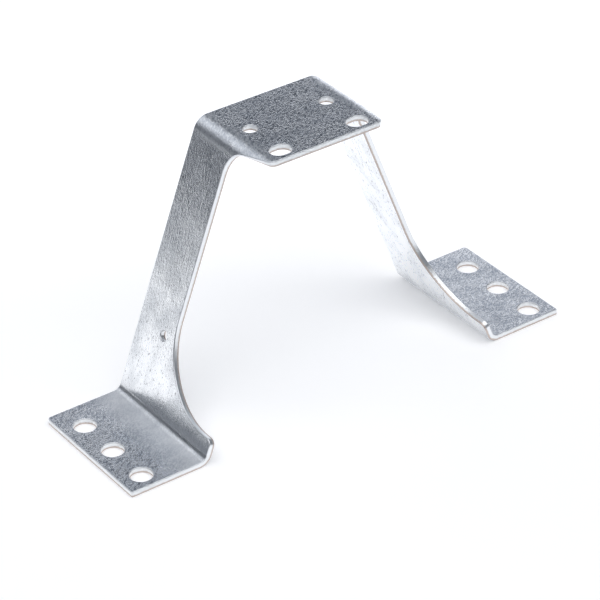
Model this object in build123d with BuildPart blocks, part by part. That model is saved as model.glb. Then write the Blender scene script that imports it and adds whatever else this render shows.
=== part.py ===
from build123d import *
from math import atan2, cos, degrees, radians, sin, tan
import os

# Fan motor bracket: one strip of galvanised sheet steel, blanked, pierced and folded into a bridge on two feet.
# The origin is on the floor at the middle of the footprint. X runs from foot to foot, Y across the strip towards
# its straight back edge, Z up. Lengths are in millimetres.

# Sheet and its folds
sheet_thickness = 1.5
foot_fold_radius = 2.0  # inside of the fold between a foot and its leg
top_fold_radius = 2.7  # inside of the fold between a leg and the top plate
rolled_edge_width = 0.2  # the press rolls the upper edge over as it cuts, which leaves a narrow bevel

# Side view. Lengths run to a fold's sharp line, where the upper faces would meet if it had no radius.
overall_height = 67.0
foot_fold_spacing = 85.0
foot_length = 20.0  # from the fold to the foot's end

# Widths, all counted from the straight back edge. A foot is as wide as its line of holes and their margins.
leg_width = 14.0
plate_depth = 27.5

# Holes in the feet
foot_hole_diameter = 5.5
foot_hole_pitch = 12.0
foot_hole_count = 3
foot_hole_end_margin = 5.5  # margins run from an edge to the middle of a hole
foot_hole_back_margin = 8.0
foot_hole_front_margin = 4.5

# Corners of the feet
foot_back_corner_radius = 1.0
foot_front_corner_radius = 0.4

# Flare, where a leg sweeps out to the width of its foot
flare_tip_height = 5.1  # up the leg from the fold to the flare's level tip
flare_tip_width = 3.0  # length of the level tip
flare_tip_radius = 1.8

# Motor's holes in the top plate: two slots near its front edge, and two round holes behind them
motor_hole_spacing = 21.5
motor_hole_fold_margin = 6.5  # from a hole's middle to the fold, which sets the plate's length
motor_row_spacing = 12.0
motor_hole_diameter = 3.6
motor_slot_width = 4.5
motor_slot_length = 5.5
motor_slot_front_margin = 3.5

# Ear of the top plate, which stands forward of the legs
ear_front_inset = 1.4  # of the ear's front corners from the fold
ear_side_angle = 15.0  # by which the ear's sides spread towards the legs
ear_corner_radius = 2.0
ear_root_radius = 6.0  # hollow between the ear's side and the leg's front edge

# Pilot hole, in the left leg only
pilot_hole_diameter = 2.5
pilot_hole_height = 19.1  # up the leg from the fold
pilot_hole_front_margin = 3.7

# Edges across the strip
foot_hole_row_length = foot_hole_pitch * (foot_hole_count - 1)
foot_width = foot_hole_back_margin + foot_hole_row_length + foot_hole_front_margin
back_y = foot_width / 2
foot_front_y = back_y - foot_width
leg_front_y = back_y - leg_width
ear_front_y = back_y - plate_depth
flare_radius = leg_front_y - foot_front_y - flare_tip_width

# Slope of the legs, and planes on their outer faces and square to the middle of the top fold
foot_fold_x = foot_fold_spacing / 2
foot_end_x = foot_fold_x + foot_length
top_fold_x = motor_hole_spacing / 2 + motor_hole_fold_margin
leg_angle = atan2(overall_height - sheet_thickness, foot_fold_x - top_fold_x)
half_fold = leg_angle / 2
leg_normal = (sin(leg_angle), 0, cos(leg_angle))
leg_plane = Plane(origin=(foot_fold_x, 0, sheet_thickness), x_dir=(0, 1, 0), z_dir=leg_normal)
fold_normal = (sin(half_fold), 0, cos(half_fold))
fold_plane = Plane(origin=(top_fold_x, 0, overall_height), x_dir=(0, 1, 0), z_dir=fold_normal)

# The ear's side on the fold plane, and the line below which the leg's front edge is straight. The plane tilts by
# half the leg's angle, so its lengths shrink by the cosine, and the two cuts lap by twice the sheet's thickness.
ear_front_v = ear_front_inset * cos(half_fold)
ear_root_v = ear_front_v - (leg_front_y - ear_front_y) * tan(radians(ear_side_angle))
hollow_end_v = ear_root_v - ear_root_radius / tan(radians(90 + ear_side_angle) / 2)
ear_cut_end_v = hollow_end_v - 2 * sheet_thickness
ear_cut_depth = 2 * sheet_thickness - ear_cut_end_v * tan(half_fold)
top_cut_depth = top_fold_radius + sheet_thickness  # through the plate and as far down as its folds reach
leg_length = (overall_height - sheet_thickness) / sin(leg_angle)
leg_cut_top = leg_length + hollow_end_v / cos(half_fold) - sheet_thickness * tan(half_fold)

with BuildPart() as bracket:
    # Right half of the folded strip, at the full width of a foot
    with BuildSketch(Plane.XZ.offset(-back_y)):
        with BuildLine():
            FilletPolyline(
                (0, overall_height),
                (top_fold_x, overall_height),
                (foot_fold_x, sheet_thickness),
                (foot_end_x, sheet_thickness),
                radius=(top_fold_radius + sheet_thickness, foot_fold_radius),
            )
            offset(amount=sheet_thickness, side=Side.RIGHT)
        make_face()
    extrude(amount=foot_width)

    # Front of the top plate, back to the ear's edge
    with BuildSketch(Plane.XY.offset(overall_height)):
        with Locations((0, ear_front_y)):
            Rectangle(2 * top_fold_x, foot_width, align=(Align.CENTER, Align.MAX))
    extrude(amount=-top_cut_depth, mode=Mode.SUBTRACT)

    # Side of the ear and the hollow at its root, cut square to the middle of the fold
    with BuildSketch(fold_plane):
        with BuildLine():
            Polyline(
                (ear_front_y, ear_front_v),
                (leg_front_y, ear_root_v),
                (leg_front_y, ear_cut_end_v),
                (foot_front_y, ear_cut_end_v),
                (foot_front_y, ear_front_v),
                close=True,
            )
        make_face()
        fillet(vertices().group_by(Axis.X)[-1].sort_by(Axis.Y)[-1], radius=ear_root_radius)
    extrude(amount=-ear_cut_depth, mode=Mode.SUBTRACT)

    # Front of the leg, down to the flare's level tip
    with BuildSketch(leg_plane):
        with Locations((leg_front_y, leg_cut_top)):
            Rectangle(
                leg_front_y - foot_front_y,
                leg_cut_top - flare_tip_height,
                align=(Align.MAX, Align.MAX),
            )
        fillet(vertices().group_by(Axis.X)[-1].sort_by(Axis.Y)[0], radius=flare_radius)
    extrude(amount=sheet_thickness, both=True, mode=Mode.SUBTRACT)

    # Rounded corners of the flare, the ear and the foot
    tip_corner = bracket.edges().filter_by(Axis((0, 0, 0), leg_normal)).sort_by(Axis.Y)[0]
    fillet(tip_corner, radius=flare_tip_radius)
    ear_corner = bracket.edges().filter_by(Axis((0, 0, 0), fold_normal)).sort_by(Axis.Y)[0]
    fillet(ear_corner, radius=ear_corner_radius)
    for corner, corner_radius in ((0, foot_front_corner_radius), (-1, foot_back_corner_radius)):
        foot_end_edges = bracket.edges().filter_by(Axis.Z).group_by(Axis.X)[-1].sort_by(Axis.Y)
        fillet(foot_end_edges[corner], radius=corner_radius)

    # Holes in the foot
    foot_holes_y = back_y - foot_hole_back_margin - foot_hole_row_length / 2
    with Locations((foot_end_x - foot_hole_end_margin, foot_holes_y, sheet_thickness)):
        with GridLocations(0, foot_hole_pitch, 1, foot_hole_count):
            Hole(foot_hole_diameter / 2, depth=sheet_thickness)

    # Slot and round hole for the motor's screws
    with BuildSketch(Plane.XY.offset(overall_height)):
        with Locations((motor_hole_spacing / 2, ear_front_y + motor_slot_front_margin)):
            SlotOverall(motor_slot_length, motor_slot_width)
        with Locations((motor_hole_spacing / 2, ear_front_y + motor_slot_front_margin + motor_row_spacing)):
            Circle(motor_hole_diameter / 2)
    extrude(amount=-top_cut_depth, mode=Mode.SUBTRACT)

    # Bevel all round the upper side and its holes, but not where the halves meet, which sorts first
    upper_side = bracket.faces().filter_by(lambda face: face.normal_at().get_angle(Vector(fold_normal)) < 45)
    lower_side = bracket.faces().filter_by(lambda face: face.normal_at().get_angle(Vector(fold_normal)) > 135)
    cut_faces = bracket.faces() - upper_side - lower_side
    rim = (upper_side.edges() & cut_faces.edges()).sort_by(Axis.X)[1:]
    chamfer(rim, length=rolled_edge_width)

    # The left half is the right one's mirror image
    mirror(about=Plane.YZ)

    # Pilot hole through the left leg
    left_leg_plane = Plane(
        origin=(-foot_fold_x, 0, sheet_thickness),
        x_dir=(0, -1, 0),
        z_dir=(-sin(leg_angle), 0, cos(leg_angle)),
    )
    with BuildSketch(left_leg_plane):
        with Locations((-leg_front_y - pilot_hole_front_margin, pilot_hole_height)):
            Circle(pilot_hole_diameter / 2)
    extrude(amount=-sheet_thickness, mode=Mode.SUBTRACT)

bracket.part.label = "bracket"

os.makedirs("parts", exist_ok=True)
export_step(bracket.part, "parts/bracket.step")

size = bracket.part.bounding_box().size
print(f"bracket: {size.X:.2f} x {size.Y:.2f} x {size.Z:.2f} mm, legs at {degrees(leg_angle):.1f} degrees")
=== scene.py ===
from math import asin, atan2, cos, hypot, pi, radians, sin, tan

import bmesh
import bpy
from mathutils import Matrix, Vector


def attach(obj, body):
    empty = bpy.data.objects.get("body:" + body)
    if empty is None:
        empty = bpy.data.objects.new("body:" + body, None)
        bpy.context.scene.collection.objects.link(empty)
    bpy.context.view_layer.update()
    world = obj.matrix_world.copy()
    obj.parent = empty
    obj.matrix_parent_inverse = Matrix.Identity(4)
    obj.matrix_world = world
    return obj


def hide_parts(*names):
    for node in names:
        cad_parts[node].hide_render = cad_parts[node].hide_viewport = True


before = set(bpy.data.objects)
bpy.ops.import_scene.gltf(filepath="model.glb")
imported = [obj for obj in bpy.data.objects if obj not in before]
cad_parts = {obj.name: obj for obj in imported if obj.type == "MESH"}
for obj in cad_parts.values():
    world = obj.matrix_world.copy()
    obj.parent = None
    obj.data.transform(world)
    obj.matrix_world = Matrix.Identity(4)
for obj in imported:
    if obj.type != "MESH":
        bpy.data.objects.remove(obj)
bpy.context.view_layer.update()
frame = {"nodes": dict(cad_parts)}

print("frame loaded:", ", ".join(frame["nodes"]))


def toMetres(millimetres):
    return millimetres * 0.001


def hexColour(text):
    # sRGB hex to the linear values that nodes want
    channels = [int(text[i:i + 2], 16) / 255 for i in (1, 3, 5)]
    return [c / 12.92 if c <= 0.04045 else ((c + 0.055) / 1.055) ** 2.4 for c in channels] + [1.0]


def addNode(tree, kind, settings=None, links=None):
    # settings are the node's own properties or the values of its inputs, by name or by place.
    # A link comes from an output, or from a node's first output
    node = tree.nodes.new(kind)
    for name, value in (settings or {}).items():
        if isinstance(name, str) and hasattr(node, name):
            setattr(node, name, value)
        else:
            node.inputs[name].default_value = value
    for name, source in (links or {}).items():
        tree.links.new(getattr(source, "outputs", [source])[0], node.inputs[name])
    return node


def newMaterial(name):
    material = bpy.data.materials.new(name)
    material.use_nodes = True
    material.node_tree.nodes.clear()
    return material, material.node_tree


# a long lens from the front left, rolled a little, as the photograph was taken
shot = {
    "azimuth": 35.155,
    "elevation": 33.123,
    "roll": -1.111,
    "distance": 689.64,
    "aim": (-6.384, -6.038, 24.992),
    "lens": 177.106,
    "sensor": 36,
    "clip": (0.01, 20),  # metres
}
azimuth, elevation, roll = (radians(shot[name]) for name in ("azimuth", "elevation", "roll"))
toCamera = Vector((-sin(azimuth) * cos(elevation), -cos(azimuth) * cos(elevation), sin(elevation)))
levelRight = Vector((cos(azimuth), -sin(azimuth), 0))
levelUp = toCamera.cross(levelRight)
right = levelRight * cos(roll) + levelUp * sin(roll)
up = levelUp * cos(roll) - levelRight * sin(roll)
cameraPlace = toMetres(Vector(shot["aim"]) + toCamera * shot["distance"])
cameraData = bpy.data.cameras.new("camera")
cameraData.lens = shot["lens"]
cameraData.sensor_width = shot["sensor"]
cameraData.clip_start, cameraData.clip_end = shot["clip"]
camera = bpy.data.objects.new("camera", cameraData)
bpy.context.collection.objects.link(camera)
camera.matrix_world = Matrix.Translation(cameraPlace) @ Matrix((right, up, toCamera)).transposed().to_4x4()
bpy.context.scene.camera = camera
bpy.context.scene.view_settings.view_transform = "Standard"
print("camera placed")

# a white table top that fades into the grey studio far out
table = {
    "radius": 740,
    "sides": 128,
    "paper": "#f4f4f5",
    "middle": (110, 60, 0),
    "whiteReach": 350,  # the paper is evenly white this far from its middle
    "fadeReach": 600,  # and gone here
    "lift": 0.22,  # glow that only the camera sees, so that the paper is white and keeps its shadow
    "farLift": 0.38,  # the same behind the back card, which lights only the paper in front of it
    "behind": (0.569, 0.822, 0),  # the way from the bracket to that card
    "farReach": (110, 186),  # how far that way the lift starts to grow and is full
    "mirrorLift": 0.46,  # glow that only the metal mirrors, so that it shows white paper too
}
bpy.ops.mesh.primitive_circle_add(
    vertices=table["sides"], radius=toMetres(table["radius"]), fill_type="NGON"
)
floor = bpy.context.object
floor.name = "floor"
floorPaper, tree = newMaterial("matt_table_paper")
floorPlace = addNode(tree, "ShaderNodeTexCoord").outputs["Object"]
middle = toMetres(Vector(table["middle"]))
away = addNode(tree, "ShaderNodeVectorMath", {"operation": "DISTANCE", 1: middle}, {0: floorPlace})
near = addNode(
    tree,
    "ShaderNodeMapRange",
    {
        "interpolation_type": "SMOOTHSTEP",
        "From Min": toMetres(table["whiteReach"]),
        "From Max": toMetres(table["fadeReach"]),
        "To Min": 1.0,
        "To Max": 0.0,
    },
    {"Value": away.outputs["Value"]},
)
behind = addNode(
    tree, "ShaderNodeVectorMath", {"operation": "DOT_PRODUCT", 1: table["behind"]}, {0: floorPlace}
)
cameraLift = addNode(
    tree,
    "ShaderNodeMapRange",
    {
        "From Min": toMetres(table["farReach"][0]),
        "From Max": toMetres(table["farReach"][1]),
        "To Min": table["lift"],
        "To Max": table["farLift"],
    },
    {"Value": behind.outputs["Value"]},
)
rays = addNode(tree, "ShaderNodeLightPath").outputs
mirrored = addNode(
    tree,
    "ShaderNodeMath",
    {"operation": "MAXIMUM"},
    {0: rays["Is Glossy Ray"], 1: rays["Is Transmission Ray"]},
)
mirrorGlow = addNode(
    tree, "ShaderNodeMath", {"operation": "MULTIPLY", 1: table["mirrorLift"]}, {0: mirrored}
)
glowing = addNode(
    tree,
    "ShaderNodeMath",
    {"operation": "MULTIPLY_ADD"},
    {0: rays["Is Camera Ray"], 1: cameraLift, 2: mirrorGlow},
)
matt = addNode(tree, "ShaderNodeBsdfDiffuse", {"Color": hexColour(table["paper"])})
glow = addNode(tree, "ShaderNodeEmission", {"Color": (1, 1, 1, 1)}, {"Strength": glowing})
paper = addNode(tree, "ShaderNodeAddShader", None, {0: matt, 1: glow})
nothing = addNode(tree, "ShaderNodeBsdfTransparent")
faded = addNode(tree, "ShaderNodeMixShader", None, {0: near, 1: nothing, 2: paper})
addNode(tree, "ShaderNodeOutputMaterial", None, {"Surface": faded})
floor.data.materials.append(floorPaper)

# one big soft box overhead, smaller ones behind and at the front right, and two low cards for the plate and
# the feet to mirror
studio = {
    "surround": "#666a71",
    "lamps": {
        "overhead": {"from": (-120, -220, 900), "size": (1500, 1200), "power": 8.8, "colour": "#ffffff"},
        "back": {"from": (-260, 700, 740), "size": (820, 500), "power": 1.3, "colour": "#f6f9ff"},
        "frontRight": {"from": (520, -560, 720), "size": (420, 320), "power": 0.7, "colour": "#ffffff"},
        "lowRight": {"from": (480, 560, 70), "size": (460, 150), "power": 0.2, "colour": "#ffffff"},
        "backCard": {"from": (90, 130, 66), "size": (270, 110), "power": 0.06, "colour": "#f4f7ff"},
    },
}
for name, values in studio["lamps"].items():
    lampData = bpy.data.lights.new(name, "AREA")
    lampData.shape = "RECTANGLE"
    lampData.size, lampData.size_y = (toMetres(s) for s in values["size"])
    lampData.energy = values["power"]
    lampData.color = hexColour(values["colour"])[:3]
    lamp = bpy.data.objects.new(name, lampData)
    lamp.location = toMetres(Vector(values["from"]))
    lamp.rotation_euler = lamp.location.to_track_quat("Z", "Y").to_euler()
    lamp.visible_camera = False
    bpy.context.collection.objects.link(lamp)

world = bpy.data.worlds.new("studio")
world.use_nodes = True
world.node_tree.nodes.clear()
bpy.context.scene.world = world
surround = addNode(world.node_tree, "ShaderNodeBackground", {"Color": hexColour(studio["surround"])})
addNode(world.node_tree, "ShaderNodeOutputWorld", None, {"Surface": surround})
print("studio lit")

# the bracket: a flat blank with its holes, folded by Geometry Nodes at four lines
sheet = {  # millimetres and degrees, on the upper face
    "thickness": 1.5,
    "height": 67.0,
    "footFoldLine": 42.5,  # from the middle to where the two flats would meet with no radius
    "topFoldLine": 17.25,
    "footLength": 20.0,
    "footFoldRadius": 2.0,
    "topFoldRadius": 4.2,
    "back": 18.25,
    "footFront": -18.25,
    "legFront": 4.25,
    "earFront": -9.25,
    "earInset": 1.4,
    "earSlope": 15.0,
    "earCorner": 2.0,
    "earRoot": 6.0,
    "flareTip": 5.1,  # up the leg from the fold line
    "flareRadius": 19.5,
    "flareCorner": 1.8,
    "footCorners": (0.4, 1.0),
    "rolledEdge": 0.2,
    "underEdge": 0.06,
    "rollSteps": 4,
    "mitre": 0.3,  # an edge moves in by at most its width over this at a sharp corner
    "foldSteps": 16,
    "foldSupport": 0.12,
    "snap": 0.0001,  # a point this near to a fold's cross line lies on it
    "lineEnd": 12.0,  # anywhere past the ear's corners
    "arcSteps": {
        "earCorner": 12,
        "earSide": 10,
        "earRoot": 24,
        "flare": 48,
        "flareCorner": 14,
        "footCorner": 8,
        "hole": 48,
    },
    "holes": {
        "foot": {"x": 57.0, "y": (10.25, -1.75, -13.75), "diameter": 5.5},
        "motor": {"x": 10.75, "y": 6.25, "diameter": 3.6},
        "slot": {"x": 10.75, "y": -5.75, "length": 5.5, "width": 4.5},
        "pilot": {"up": 19.1, "y": 7.95, "diameter": 2.5},
    },
}
legRise, legRun = sheet["height"] - sheet["thickness"], sheet["footFoldLine"] - sheet["topFoldLine"]
legAngle, legLength = atan2(legRise, legRun), hypot(legRise, legRun)
topSetback = sheet["topFoldRadius"] * tan(legAngle / 2)
footSetback = sheet["footFoldRadius"] * tan(legAngle / 2)
topFoldStart = sheet["topFoldLine"] - topSetback
topFoldEnd = topFoldStart + sheet["topFoldRadius"] * legAngle
footFoldStart = topFoldEnd + legLength - topSetback - footSetback
footFoldEnd = footFoldStart + sheet["footFoldRadius"] * legAngle
stripEnd = footFoldEnd + sheet["footLength"] - footSetback

# Hot-dip galvanised sheet steel, skin-passed, so the zinc has no big spangle. To the eye it is a bluish
# mirror broken up by small flecks, drawn out along the legs. Its sheared edges are rolled over at the top,
# bright below that, where the blade slid, and duller and warmer at the bottom, where the steel tore.
zinc = {
    "dull": "#a3aab4",
    "bright": "#eef0f2",
    # tone of the dark dashes, also used for the painted shade above the foot folds
    "dashAndShadeTone": "#95979c",
    "roughness": (0.24, 0.15),  # dull and bright patches
    "foldRoughness": (0.12, 0.07),  # more of it where the top and foot folds stretched the zinc
    "foldFade": 0.8,  # that ends this many fold lengths from the middle of a fold
    "patchShare": 0.3,  # of the colour; the flecks have the rest
    "legFlecks": 0.12,  # share of the round flecks that is left on the legs
    "cloudThinning": 0.45,  # of the flecks between the clouds on the feet
    "fewestFlecks": 0.25,
    "pressed": (1.5, 8.5),  # beside the foot fold the flecks thin out this far out on the foot: a press smear, and in the colour also a painted highlight
    "pressedRoughness": 0.24,
    "rightPressed": 0.25,  # the right foot has this share of the smear, of the painted highlight beside the fold and of the clouds
    "edgeRoughness": (0.32, 0.55),  # where the blade slid and where the steel tore
    "rolled": "#d2d5d9",
    "slid": "#dfe2e5",
    "torn": "#c3b8b2",
    "edgeBands": (0.16, 0.22, 0.9, 1.15),  # depths: end of the rolled edge, and start and full of the tear
    "edgeWaver": 0.06,  # of the bands, as a share of the thickness
    "dip": (2.6, 3.3),  # the legs dip towards their foot folds, over these lengths at the back and front
    "dipShade": 0.45,  # how far the die rubbed the zinc dark there
    "crease": (0.65, 0.2),  # strength of the painted shade in the dip above each foot fold
    # size in millimetres along and across the strip, turn in degrees, and the band of the noise that shows.
    # The real flecks are about 0.2 mm, too fine to show in a render, so they are drawn at 0.5 to 1
    "patterns": {
        "waves": {"size": (16.0, 16.0), "turn": 0.0, "detail": 1.0, "warp": 0.0, "band": (0.0, 1.0)},
        "patches": {"size": (7.2, 4.5), "turn": 12.0, "detail": 3.0, "warp": 0.0, "band": (0.35, 0.65)},
        "rollMarks": {"size": (6.0, 0.45), "turn": 0.0, "detail": 2.0, "warp": 0.0, "band": (0.0, 1.0)},
        "scratches": {"size": (9.0, 0.3), "turn": 7.0, "detail": 1.0, "warp": 0.0, "band": (0.66, 0.74)},
        "flecks": {"size": (0.95, 0.45), "turn": -38.0, "detail": 1.0, "warp": 1.3, "band": (0.4, 0.62)},
        "drawnFlecks": {"size": (2.4, 0.42), "turn": -4.0, "detail": 2.0, "warp": 0.3, "band": (0.45, 0.7)},
        "dashes": {"size": (1.1, 0.34), "turn": 2.0, "detail": 1.0, "warp": 0.2, "band": (0.63, 0.72)},
        "clouds": {"size": (9.0, 7.0), "turn": 20.0, "detail": 3.0, "warp": 0.4, "band": (0.42, 0.56)},
        "ragged": {"size": (0.6, 0.6), "turn": 0.0, "detail": 2.0, "warp": 0.0, "band": (0.3, 0.7)},
    },
    "patternShift": (7.0, 3.0, 1.7),  # each pattern lies this far from the one before
    "heights": {  # millimetres
        "waves": 0.17,
        "dip": -0.11,
        "crease": 0.04,
        "rollMarks": 0.012,
        "scratches": -0.012,
        "drawnFlecks": 0.013,
        "flecks": 0.05,
    },
}
sheetZinc, tree = newMaterial("galvanised_sheet_steel")
strip = addNode(tree, "ShaderNodeAttribute", {"attribute_name": "blankPlace"}).outputs["Vector"]
flatPlace = addNode(  # in millimetres again
    tree, "ShaderNodeVectorMath", {"operation": "SCALE", "Scale": 1000.0}, {0: strip}
)
across = addNode(tree, "ShaderNodeSeparateXYZ", None, {0: flatPlace}).outputs
along = addNode(tree, "ShaderNodeMath", {"operation": "ABSOLUTE"}, {0: across["X"]})

looks = {}
for i, (name, pattern) in enumerate(zinc["patterns"].items()):
    turned = addNode(
        tree,
        "ShaderNodeMapping",
        {"Location": Vector(zinc["patternShift"]) * i, "Rotation": (0, 0, radians(pattern["turn"]))},
        {"Vector": flatPlace},
    )
    length, width = pattern["size"]
    shrunk = addNode(
        tree, "ShaderNodeVectorMath", {"operation": "DIVIDE", 1: (length, width, width)}, {0: turned}
    )
    noise = addNode(
        tree,
        "ShaderNodeTexNoise",
        {"Scale": 1.0, "Detail": pattern["detail"], "Distortion": pattern["warp"]},
        {"Vector": shrunk},
    )
    low, high = pattern["band"]
    looks[name] = addNode(tree, "ShaderNodeMapRange", {"From Min": low, "From Max": high}, {"Value": noise})

# flecks are round on the plate and the feet, and drawn out on the legs
pastTopFold = addNode(
    tree, "ShaderNodeMapRange", {"From Min": topFoldStart, "From Max": topFoldEnd}, {"Value": along}
)
beforeFootFold = addNode(
    tree,
    "ShaderNodeMapRange",
    {"From Min": footFoldStart, "From Max": footFoldEnd, "To Min": 1.0, "To Max": 0.0},
    {"Value": along},
)
onLeg = addNode(tree, "ShaderNodeMath", {"operation": "MULTIPLY"}, {0: pastTopFold, 1: beforeFootFold})
offLeg = addNode(tree, "ShaderNodeMapRange", {"To Min": 1.0, "To Max": zinc["legFlecks"]}, {"Value": onLeg})
allFlecks = looks["flecks"]
looks["flecks"] = addNode(tree, "ShaderNodeMath", {"operation": "MULTIPLY"}, {0: allFlecks, 1: offLeg})

# on the feet the flecks come in clouds and thin out beside the fold, less so on the right foot; the fewer
# dark flecks beside the fold lighten the colour there as a painted highlight
onFoot = addNode(
    tree, "ShaderNodeMapRange", {"From Min": footFoldStart, "From Max": footFoldEnd}, {"Value": along}
)
smearAndHighlightBesideFold = addNode(
    tree,
    "ShaderNodeMapRange",
    {
        "From Min": footFoldEnd + zinc["pressed"][0],
        "From Max": footFoldEnd + zinc["pressed"][1],
        "To Min": 1.0,
        "To Max": 0.0,
    },
    {"Value": along},
)
smeared = addNode(
    tree,
    "ShaderNodeMapRange",
    {"From Min": -1.0, "From Max": 1.0, "To Min": 1.0, "To Max": zinc["rightPressed"]},
    {"Value": across["X"]},
)
smeared = addNode(tree, "ShaderNodeMath", {"operation": "MULTIPLY"}, {0: smeared, 1: onFoot})
pressed = addNode(tree, "ShaderNodeMath", {"operation": "MULTIPLY"}, {0: smeared, 1: smearAndHighlightBesideFold})
footClouds = addNode(
    tree, "ShaderNodeMapRange", {"To Min": zinc["cloudThinning"], "To Max": 0.0}, {"Value": looks["clouds"]}
)
# beside the fold this thinning of the dark flecks is partly a painted highlight
thinning = addNode(tree, "ShaderNodeMath", {"operation": "MAXIMUM"}, {0: footClouds, 1: smearAndHighlightBesideFold})
thinning = addNode(tree, "ShaderNodeMath", {"operation": "MULTIPLY"}, {0: thinning, 1: smeared})
fleckShare = addNode(
    tree, "ShaderNodeMapRange", {"To Min": 1.0, "To Max": zinc["fewestFlecks"]}, {"Value": thinning}
)
looks["flecks"] = addNode(
    tree, "ShaderNodeMath", {"operation": "MULTIPLY"}, {0: looks["flecks"], 1: fleckShare}
)
darkFlecks = addNode(tree, "ShaderNodeMath", {"operation": "SUBTRACT", 0: 1.0}, {1: allFlecks})
darkFlecks = addNode(tree, "ShaderNodeMath", {"operation": "MULTIPLY"}, {0: darkFlecks, 1: fleckShare})
darkFlecks = addNode(tree, "ShaderNodeMath", {"operation": "MULTIPLY"}, {0: darkFlecks, 1: offLeg})
legDashes = addNode(tree, "ShaderNodeMath", {"operation": "MULTIPLY"}, {0: looks["dashes"], 1: onLeg})
looks["drawnFlecks"] = addNode(
    tree, "ShaderNodeMath", {"operation": "MULTIPLY"}, {0: looks["drawnFlecks"], 1: onLeg}
)

# the dip above each foot fold dies away up the leg, and faster at the back
dipLength = addNode(
    tree,
    "ShaderNodeMapRange",
    {
        "From Min": sheet["back"],
        "From Max": sheet["footFront"],
        "To Min": zinc["dip"][0],
        "To Max": zinc["dip"][1],
    },
    {"Value": across["Y"]},
)
towardsFold = addNode(tree, "ShaderNodeMath", {"operation": "SUBTRACT", 1: footFoldStart}, {0: along})
upLeg = addNode(tree, "ShaderNodeMath", {"operation": "MINIMUM", 1: 0.0}, {0: towardsFold})
dyingAway = addNode(tree, "ShaderNodeMath", {"operation": "DIVIDE"}, {0: upLeg, 1: dipLength})
dipShape = addNode(tree, "ShaderNodeMath", {"operation": "EXPONENT"}, {0: dyingAway})
looks["dip"] = addNode(tree, "ShaderNodeMath", {"operation": "MULTIPLY"}, {0: dipShape, 1: dipLength})
creasePlace = footFoldStart + zinc["crease"][0]
looks["crease"] = addNode(
    tree, "ShaderNodeMath", {"operation": "COMPARE", 1: creasePlace, 2: zinc["crease"][1]}, {0: along}
)

# colour of the zinc: duller and brighter patches and flecks, small dark dashes along the strip, and painted
# shade in the dip above each foot fold
dullPatches = addNode(tree, "ShaderNodeMath", {"operation": "SUBTRACT", 0: 1.0}, {1: looks["patches"]})
shade = addNode(
    tree, "ShaderNodeMix", {"data_type": "FLOAT", 0: zinc["patchShare"]}, {2: darkFlecks, 3: dullPatches}
)
skin = addNode(
    tree,
    "ShaderNodeMix",
    {"data_type": "RGBA", 6: hexColour(zinc["bright"]), 7: hexColour(zinc["dull"])},
    {0: shade},
)
# painted shade: the leg's colour darkens in the dip above each foot fold
paintedDipShade = addNode(tree, "ShaderNodeMath", {"operation": "MULTIPLY", 1: zinc["dipShade"]}, {0: dipShape})
paintedDipShade = addNode(tree, "ShaderNodeMath", {"operation": "MULTIPLY"}, {0: paintedDipShade, 1: onLeg})
dashesAndDipShade = addNode(tree, "ShaderNodeMath", {"operation": "MAXIMUM"}, {0: legDashes, 1: paintedDipShade})
dashedAndShaded = addNode(
    tree,
    "ShaderNodeMix",
    {"data_type": "RGBA", 7: hexColour(zinc["dashAndShadeTone"])},
    {0: dashesAndDipShade, 6: skin.outputs[2]},
)

# the cut edges, by depth under the upper face as a share of the thickness
cutEdge = addNode(tree, "ShaderNodeAttribute", {"attribute_name": "cutEdge"}).outputs["Fac"]
depthShare = addNode(
    tree, "ShaderNodeMapRange", {"From Max": -sheet["thickness"], "clamp": False}, {"Value": across["Z"]}
)
wavering = addNode(
    tree,
    "ShaderNodeMapRange",
    {"To Min": -zinc["edgeWaver"], "To Max": zinc["edgeWaver"]},
    {"Value": looks["ragged"]},
)
edgeDepth = addNode(tree, "ShaderNodeMath", {"operation": "ADD"}, {0: depthShare, 1: wavering})
edgeTone = addNode(tree, "ShaderNodeValToRGB", None, {0: edgeDepth})
rampEnds = edgeTone.color_ramp.elements
while len(rampEnds) < len(zinc["edgeBands"]):
    rampEnds.new(0.5)
for stop, depth, colour in zip(rampEnds, zinc["edgeBands"], ("rolled", "slid", "slid", "torn")):
    stop.position = depth / sheet["thickness"]
    stop.color = hexColour(zinc[colour])
zincColour = addNode(
    tree, "ShaderNodeMix", {"data_type": "RGBA"}, {0: cutEdge, 6: dashedAndShaded.outputs[2], 7: edgeTone}
)

# roughness, with more in the folds and where the press smeared the flecks
moreRoughness = []
foldSpans = ((topFoldStart, topFoldEnd), (footFoldStart, footFoldEnd))
for (start, end), extra in zip(foldSpans, zinc["foldRoughness"]):
    fromFold = addNode(tree, "ShaderNodeMath", {"operation": "SUBTRACT", 1: (start + end) / 2}, {0: along})
    fromFold = addNode(tree, "ShaderNodeMath", {"operation": "ABSOLUTE"}, {0: fromFold})
    fold = end - start
    moreRoughness.append(
        addNode(
            tree,
            "ShaderNodeMapRange",
            {"From Min": fold / 2, "From Max": fold * zinc["foldFade"], "To Min": extra, "To Max": 0.0},
            {"Value": fromFold},
        )
    )
moreRoughness.append(
    addNode(tree, "ShaderNodeMath", {"operation": "MULTIPLY", 1: zinc["pressedRoughness"]}, {0: pressed})
)
dullest, brightest = zinc["roughness"]
skinRoughness = addNode(
    tree, "ShaderNodeMapRange", {"To Min": dullest, "To Max": brightest}, {"Value": looks["patches"]}
)
for more in moreRoughness:
    skinRoughness = addNode(tree, "ShaderNodeMath", {"operation": "ADD"}, {0: skinRoughness, 1: more})
tearing = addNode(
    tree,
    "ShaderNodeMapRange",
    {
        "From Min": zinc["edgeBands"][2] / sheet["thickness"],
        "From Max": zinc["edgeBands"][3] / sheet["thickness"],
        "To Min": zinc["edgeRoughness"][0],
        "To Max": zinc["edgeRoughness"][1],
    },
    {"Value": edgeDepth},
)
roughness = addNode(
    tree, "ShaderNodeMix", {"data_type": "FLOAT"}, {0: cutEdge, 2: skinRoughness, 3: tearing}
)

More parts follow.
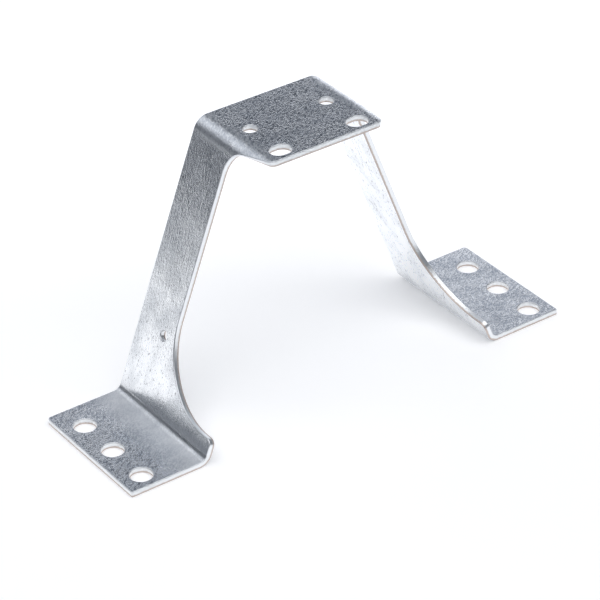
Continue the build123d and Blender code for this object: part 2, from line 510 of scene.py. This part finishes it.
relief = None
for name, height in zinc["heights"].items():
    links = {"Height": looks[name]}
    if relief:
        links["Normal"] = relief
    relief = addNode(tree, "ShaderNodeBump", {"Distance": toMetres(height)}, links)
metal = addNode(
    tree,
    "ShaderNodeBsdfPrincipled",
    {"Metallic": 1.0},
    {"Base Color": zincColour.outputs[2], "Roughness": roughness, "Normal": relief},
)
addNode(tree, "ShaderNodeOutputMaterial", None, {"Surface": metal})
print("zinc finish made:", len(tree.nodes), "nodes")


# the blank's outline, on its upper face
def alongLeg(up):
    # place along the strip of a height up the leg's slope from its foot's fold line
    return topFoldEnd + legLength - topSetback - up


def alongTopFold(across):
    # place along the strip of a point seen square to the middle of the top fold, counted towards the plate
    radius = sheet["topFoldRadius"]
    reach = radius * sin(legAngle / 2)
    middle = (topFoldStart + topFoldEnd) / 2
    beyond = max(abs(across) - reach, 0) / cos(legAngle / 2)
    turn = radius * asin(max(-reach, min(reach, across)) / radius)
    return middle - turn - (beyond if across > 0 else -beyond)


def roundCorner(before, corner, after, radius, steps):
    # points of the arc that rounds a corner
    before, corner, after = Vector(before), Vector(corner), Vector(after)
    inward, outward = (before - corner).normalized(), (after - corner).normalized()
    half = inward.angle(outward) / 2
    centre = corner + (inward + outward).normalized() * radius / sin(half)
    start = corner + inward * radius / tan(half) - centre
    sweep = (pi - 2 * half) * (1 if inward.cross(outward) < 0 else -1)
    return [centre + Matrix.Rotation(sweep * i / steps, 2) @ start for i in range(steps + 1)]


def circlePoints(x, y, diameter, count):
    turns = [2 * pi * i / count for i in range(count)]
    return [(x + diameter / 2 * cos(turn), y + diameter / 2 * sin(turn)) for turn in turns]


def slotPoints(x, y, length, width, count):
    # a circle whose two halves move apart
    shift = (length - width) / 2
    points = circlePoints(0, 0, width, count)
    return [(x + px + (shift if round(px, 6) >= 0 else -shift), y + py) for px, py in points]


steps, lineEnd = sheet["arcSteps"], sheet["lineEnd"]
earFoot = sheet["earInset"] * cos(legAngle / 2)
earRootPlace = earFoot - (sheet["legFront"] - sheet["earFront"]) * tan(radians(sheet["earSlope"]))
earEnd, rootEnd = (earFoot, sheet["earFront"]), (earRootPlace, sheet["legFront"])
earArc = roundCorner((lineEnd, sheet["earFront"]), earEnd, rootEnd, sheet["earCorner"], steps["earCorner"])
rootArc = roundCorner(earEnd, rootEnd, (-lineEnd, sheet["legFront"]), sheet["earRoot"], steps["earRoot"])
earSide = [earArc[-1].lerp(rootArc[0], i / steps["earSide"]) for i in range(1, steps["earSide"])]
frontEdge = [(alongTopFold(p[0]), p[1]) for p in earArc + earSide + rootArc]

tipLine = alongLeg(sheet["flareTip"])
legEnd, tipInner = (topFoldEnd, sheet["legFront"]), (tipLine, sheet["legFront"])
tipOuter, footCorner = (tipLine, sheet["footFront"]), (stripEnd, sheet["footFront"])
backCorner, backMiddle = (stripEnd, sheet["back"]), (0, sheet["back"])
for before, corner, after, radius, arcSteps in (
    (legEnd, tipInner, tipOuter, sheet["flareRadius"], steps["flare"]),
    (tipInner, tipOuter, footCorner, sheet["flareCorner"], steps["flareCorner"]),
    (tipOuter, footCorner, backCorner, sheet["footCorners"][0], steps["footCorner"]),
    (footCorner, backCorner, backMiddle, sheet["footCorners"][1], steps["footCorner"]),
):
    frontEdge += [tuple(p) for p in roundCorner(before, corner, after, radius, arcSteps)]
loops = [frontEdge + [(-x, y) for x, y in reversed(frontEdge)]]

footHole, motorHole, slot, pilot = (sheet["holes"][name] for name in ("foot", "motor", "slot", "pilot"))
footHolePlace = footFoldEnd + footHole["x"] - sheet["footFoldLine"] - footSetback
for side in (1, -1):
    for y in footHole["y"]:
        loops.append(circlePoints(side * footHolePlace, y, footHole["diameter"], steps["hole"]))
    loops.append(circlePoints(side * motorHole["x"], motorHole["y"], motorHole["diameter"], steps["hole"]))
    loops.append(slotPoints(side * slot["x"], slot["y"], slot["length"], slot["width"], steps["hole"]))
loops.append(circlePoints(-alongLeg(pilot["up"]), pilot["y"], pilot["diameter"], steps["hole"]))
# holes run the other way round, so metal is always on the left
loops = [loops[0]] + [loop[::-1] for loop in loops[1:]]

# rings of points down each edge: the press rolls the upper edge over and leaves the lower one almost sharp
quarter = [radians(90 * i / sheet["rollSteps"]) for i in range(sheet["rollSteps"] + 1)]
edgeProfile = [(sheet["rolledEdge"] * (1 - sin(a)), sheet["rolledEdge"] * (1 - cos(a))) for a in quarter]
edgeProfile += [(0, sheet["thickness"] - sheet["underEdge"]), (sheet["underEdge"], sheet["thickness"])]
sharpRings = (0, len(quarter) - 1, len(edgeProfile) - 2, len(edgeProfile) - 1)

blank = bmesh.new()
cutLayer = blank.faces.layers.float.new("cutEdge")
caps = ([], [])
for loop in loops:
    points = [Vector(p) for p in loop]
    insets = []
    for i, point in enumerate(points):
        back = (point - points[i - 1]).normalized()
        ahead = (points[(i + 1) % len(points)] - point).normalized()
        leftOfBack, leftOfAhead = Vector((-back.y, back.x)), Vector((-ahead.y, ahead.x))
        left = (leftOfBack + leftOfAhead).normalized()
        insets.append(left / max(left.dot(leftOfBack), sheet["mitre"]))
    rings = []
    for inset, depth in edgeProfile:
        down = Vector((0, 0, depth))
        places = [(point + left * inset).to_3d() - down for point, left in zip(points, insets)]
        rings.append([blank.verts.new(toMetres(place)) for place in places])
    for upper, lower in zip(rings, rings[1:]):
        for i in range(len(points)):
            j = (i + 1) % len(points)
            face = blank.faces.new((upper[i], lower[i], lower[j], upper[j]))
            face[cutLayer] = 1.0
    for level in sharpRings:
        for i in range(len(points)):
            blank.edges.get((rings[level][i], rings[level][i - 1])).smooth = False
    for cap, ring in zip(caps, (rings[0], rings[-1])):
        cap += [blank.edges.get((ring[i], ring[i - 1])) for i in range(len(ring))]
for cap, facing in zip(caps, (1, -1)):
    bmesh.ops.triangle_fill(blank, use_beauty=True, use_dissolve=False, edges=cap, normal=(0, 0, facing))

# cross lines at the folds, close enough to bend smoothly, with one more on the flat metal beside each
foldLines = []
for start, end in foldSpans:
    foldLines += [start + (end - start) * i / sheet["foldSteps"] for i in range(sheet["foldSteps"] + 1)]
    foldLines += [start - sheet["foldSupport"], end + sheet["foldSupport"]]
for line in foldLines + [-line for line in foldLines]:
    everything = blank.verts[:] + blank.edges[:] + blank.faces[:]
    place, snap = (toMetres(line), 0, 0), toMetres(sheet["snap"])
    bmesh.ops.bisect_plane(blank, geom=everything, dist=snap, plane_co=place, plane_no=(1, 0, 0))
bmesh.ops.recalc_face_normals(blank, faces=blank.faces[:])
for face in blank.faces:
    face.smooth = True
stripMesh = bpy.data.meshes.new("foldedSheet")
blank.to_mesh(stripMesh)
blank.free()
foldedSheet = bpy.data.objects.new("foldedSheet", stripMesh)
bpy.context.collection.objects.link(foldedSheet)
print("blank cut:", len(stripMesh.vertices), "points,", len(loops) - 1, "holes")

# One fold of both ends at once: what lies past its start wraps round a radius, and the rest goes straight
# on. A negative angle and radius fold upwards.
foldGroup = bpy.data.node_groups.new("foldBothEnds", "GeometryNodeTree")
foldGroup.interface.new_socket("Geometry", in_out="INPUT", socket_type="NodeSocketGeometry")
for name in ("Fold start", "Fold angle", "Fold radius"):
    foldGroup.interface.new_socket(name, in_out="INPUT", socket_type="NodeSocketFloat")
foldGroup.interface.new_socket("Geometry", in_out="OUTPUT", socket_type="NodeSocketGeometry")
given = addNode(foldGroup, "NodeGroupInput").outputs
position = addNode(foldGroup, "GeometryNodeInputPosition")
place = addNode(foldGroup, "ShaderNodeSeparateXYZ", None, {0: position}).outputs
outward = addNode(foldGroup, "ShaderNodeMath", {"operation": "ABSOLUTE"}, {0: place["X"]})
side = addNode(foldGroup, "ShaderNodeMath", {"operation": "SIGN"}, {0: place["X"]})
before = addNode(
    foldGroup, "ShaderNodeMath", {"operation": "MINIMUM"}, {0: outward, 1: given["Fold start"]}
)
past = addNode(foldGroup, "ShaderNodeMath", {"operation": "SUBTRACT"}, {0: outward, 1: before})
arc = addNode(
    foldGroup,
    "ShaderNodeMath",
    {"operation": "MULTIPLY"},
    {0: given["Fold angle"], 1: given["Fold radius"]},
)
onArc = addNode(foldGroup, "ShaderNodeMath", {"operation": "MINIMUM"}, {0: past, 1: arc})
beyond = addNode(foldGroup, "ShaderNodeMath", {"operation": "SUBTRACT"}, {0: past, 1: onArc})
turn = addNode(foldGroup, "ShaderNodeMath", {"operation": "DIVIDE"}, {0: onArc, 1: given["Fold radius"]})
reach = addNode(foldGroup, "ShaderNodeMath", {"operation": "ADD"}, {0: given["Fold radius"], 1: place["Z"]})
fromAxis = addNode(foldGroup, "ShaderNodeCombineXYZ", None, {"X": beyond, "Y": place["Y"], "Z": reach})
swung = addNode(
    foldGroup, "ShaderNodeVectorRotate", {"rotation_type": "Y_AXIS"}, {"Vector": fromAxis, "Angle": turn}
)
drop = addNode(foldGroup, "ShaderNodeMath", {"operation": "MULTIPLY", 1: -1.0}, {0: given["Fold radius"]})
axis = addNode(foldGroup, "ShaderNodeCombineXYZ", None, {"X": before, "Z": drop})
folded = addNode(foldGroup, "ShaderNodeVectorMath", {"operation": "ADD"}, {0: swung, 1: axis})
mirror = addNode(foldGroup, "ShaderNodeCombineXYZ", {"Y": 1.0, "Z": 1.0}, {"X": side})
moved = addNode(foldGroup, "ShaderNodeVectorMath", {"operation": "MULTIPLY"}, {0: folded, 1: mirror})
bent = addNode(
    foldGroup, "GeometryNodeSetPosition", None, {"Geometry": given["Geometry"], "Position": moved}
)
addNode(foldGroup, "NodeGroupOutput", None, {0: bent})

stripTree = bpy.data.node_groups.new("foldedStrip", "GeometryNodeTree")
stripInputs = {
    "Leg angle": legAngle,
    "Foot fold start": toMetres(footFoldStart),
    "Foot fold radius": toMetres(sheet["footFoldRadius"]),
    "Top fold start": toMetres(topFoldStart),
    "Top fold radius": toMetres(sheet["topFoldRadius"]),
    "Height": toMetres(sheet["height"]),
}
stripTree.interface.new_socket("Geometry", in_out="INPUT", socket_type="NodeSocketGeometry")
sockets = {
    name: stripTree.interface.new_socket(name, in_out="INPUT", socket_type="NodeSocketFloat")
    for name in stripInputs
}
sockets["Finish"] = stripTree.interface.new_socket(
    "Finish", in_out="INPUT", socket_type="NodeSocketMaterial"
)
stripTree.interface.new_socket("Geometry", in_out="OUTPUT", socket_type="NodeSocketGeometry")
given = addNode(stripTree, "NodeGroupInput").outputs
flat = addNode(stripTree, "GeometryNodeInputPosition")
kept = addNode(
    stripTree,
    "GeometryNodeStoreNamedAttribute",
    {"data_type": "FLOAT_VECTOR", "domain": "POINT", "Name": "blankPlace"},
    {"Geometry": given["Geometry"], "Value": flat},
)
angleUp = addNode(
    stripTree, "ShaderNodeMath", {"operation": "MULTIPLY", 1: -1.0}, {0: given["Leg angle"]}
)
radiusUp = addNode(
    stripTree, "ShaderNodeMath", {"operation": "MULTIPLY", 1: -1.0}, {0: given["Foot fold radius"]}
)
feet = addNode(
    stripTree,
    "GeometryNodeGroup",
    {"node_tree": foldGroup},
    {
        "Geometry": kept,
        "Fold start": given["Foot fold start"],
        "Fold angle": angleUp,
        "Fold radius": radiusUp,
    },
)
legs = addNode(
    stripTree,
    "GeometryNodeGroup",
    {"node_tree": foldGroup},
    {
        "Geometry": feet,
        "Fold start": given["Top fold start"],
        "Fold angle": given["Leg angle"],
        "Fold radius": given["Top fold radius"],
    },
)
lift = addNode(stripTree, "ShaderNodeCombineXYZ", None, {"Z": given["Height"]})
stood = addNode(stripTree, "GeometryNodeTransform", None, {"Geometry": legs, "Translation": lift})
whole = addNode(stripTree, "GeometryNodeRealizeInstances", None, {"Geometry": stood})
finished = addNode(
    stripTree, "GeometryNodeSetMaterial", None, {"Geometry": whole, "Material": given["Finish"]}
)
addNode(stripTree, "NodeGroupOutput", None, {0: finished})

folder = foldedSheet.modifiers.new("folds", "NODES")
folder.node_group = stripTree
for name, value in stripInputs.items():
    folder[sockets[name].identifier] = value
folder[sockets["Finish"].identifier] = sheetZinc
evaluated = foldedSheet.evaluated_get(bpy.context.evaluated_depsgraph_get())
foldedMesh = bpy.data.meshes.new_from_object(evaluated)
foldedSheet.modifiers.remove(folder)
foldedSheet.data = foldedMesh
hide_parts("bracket")
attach(foldedSheet, "root")
print("sheet folded:", len(foldedMesh.polygons), "faces")
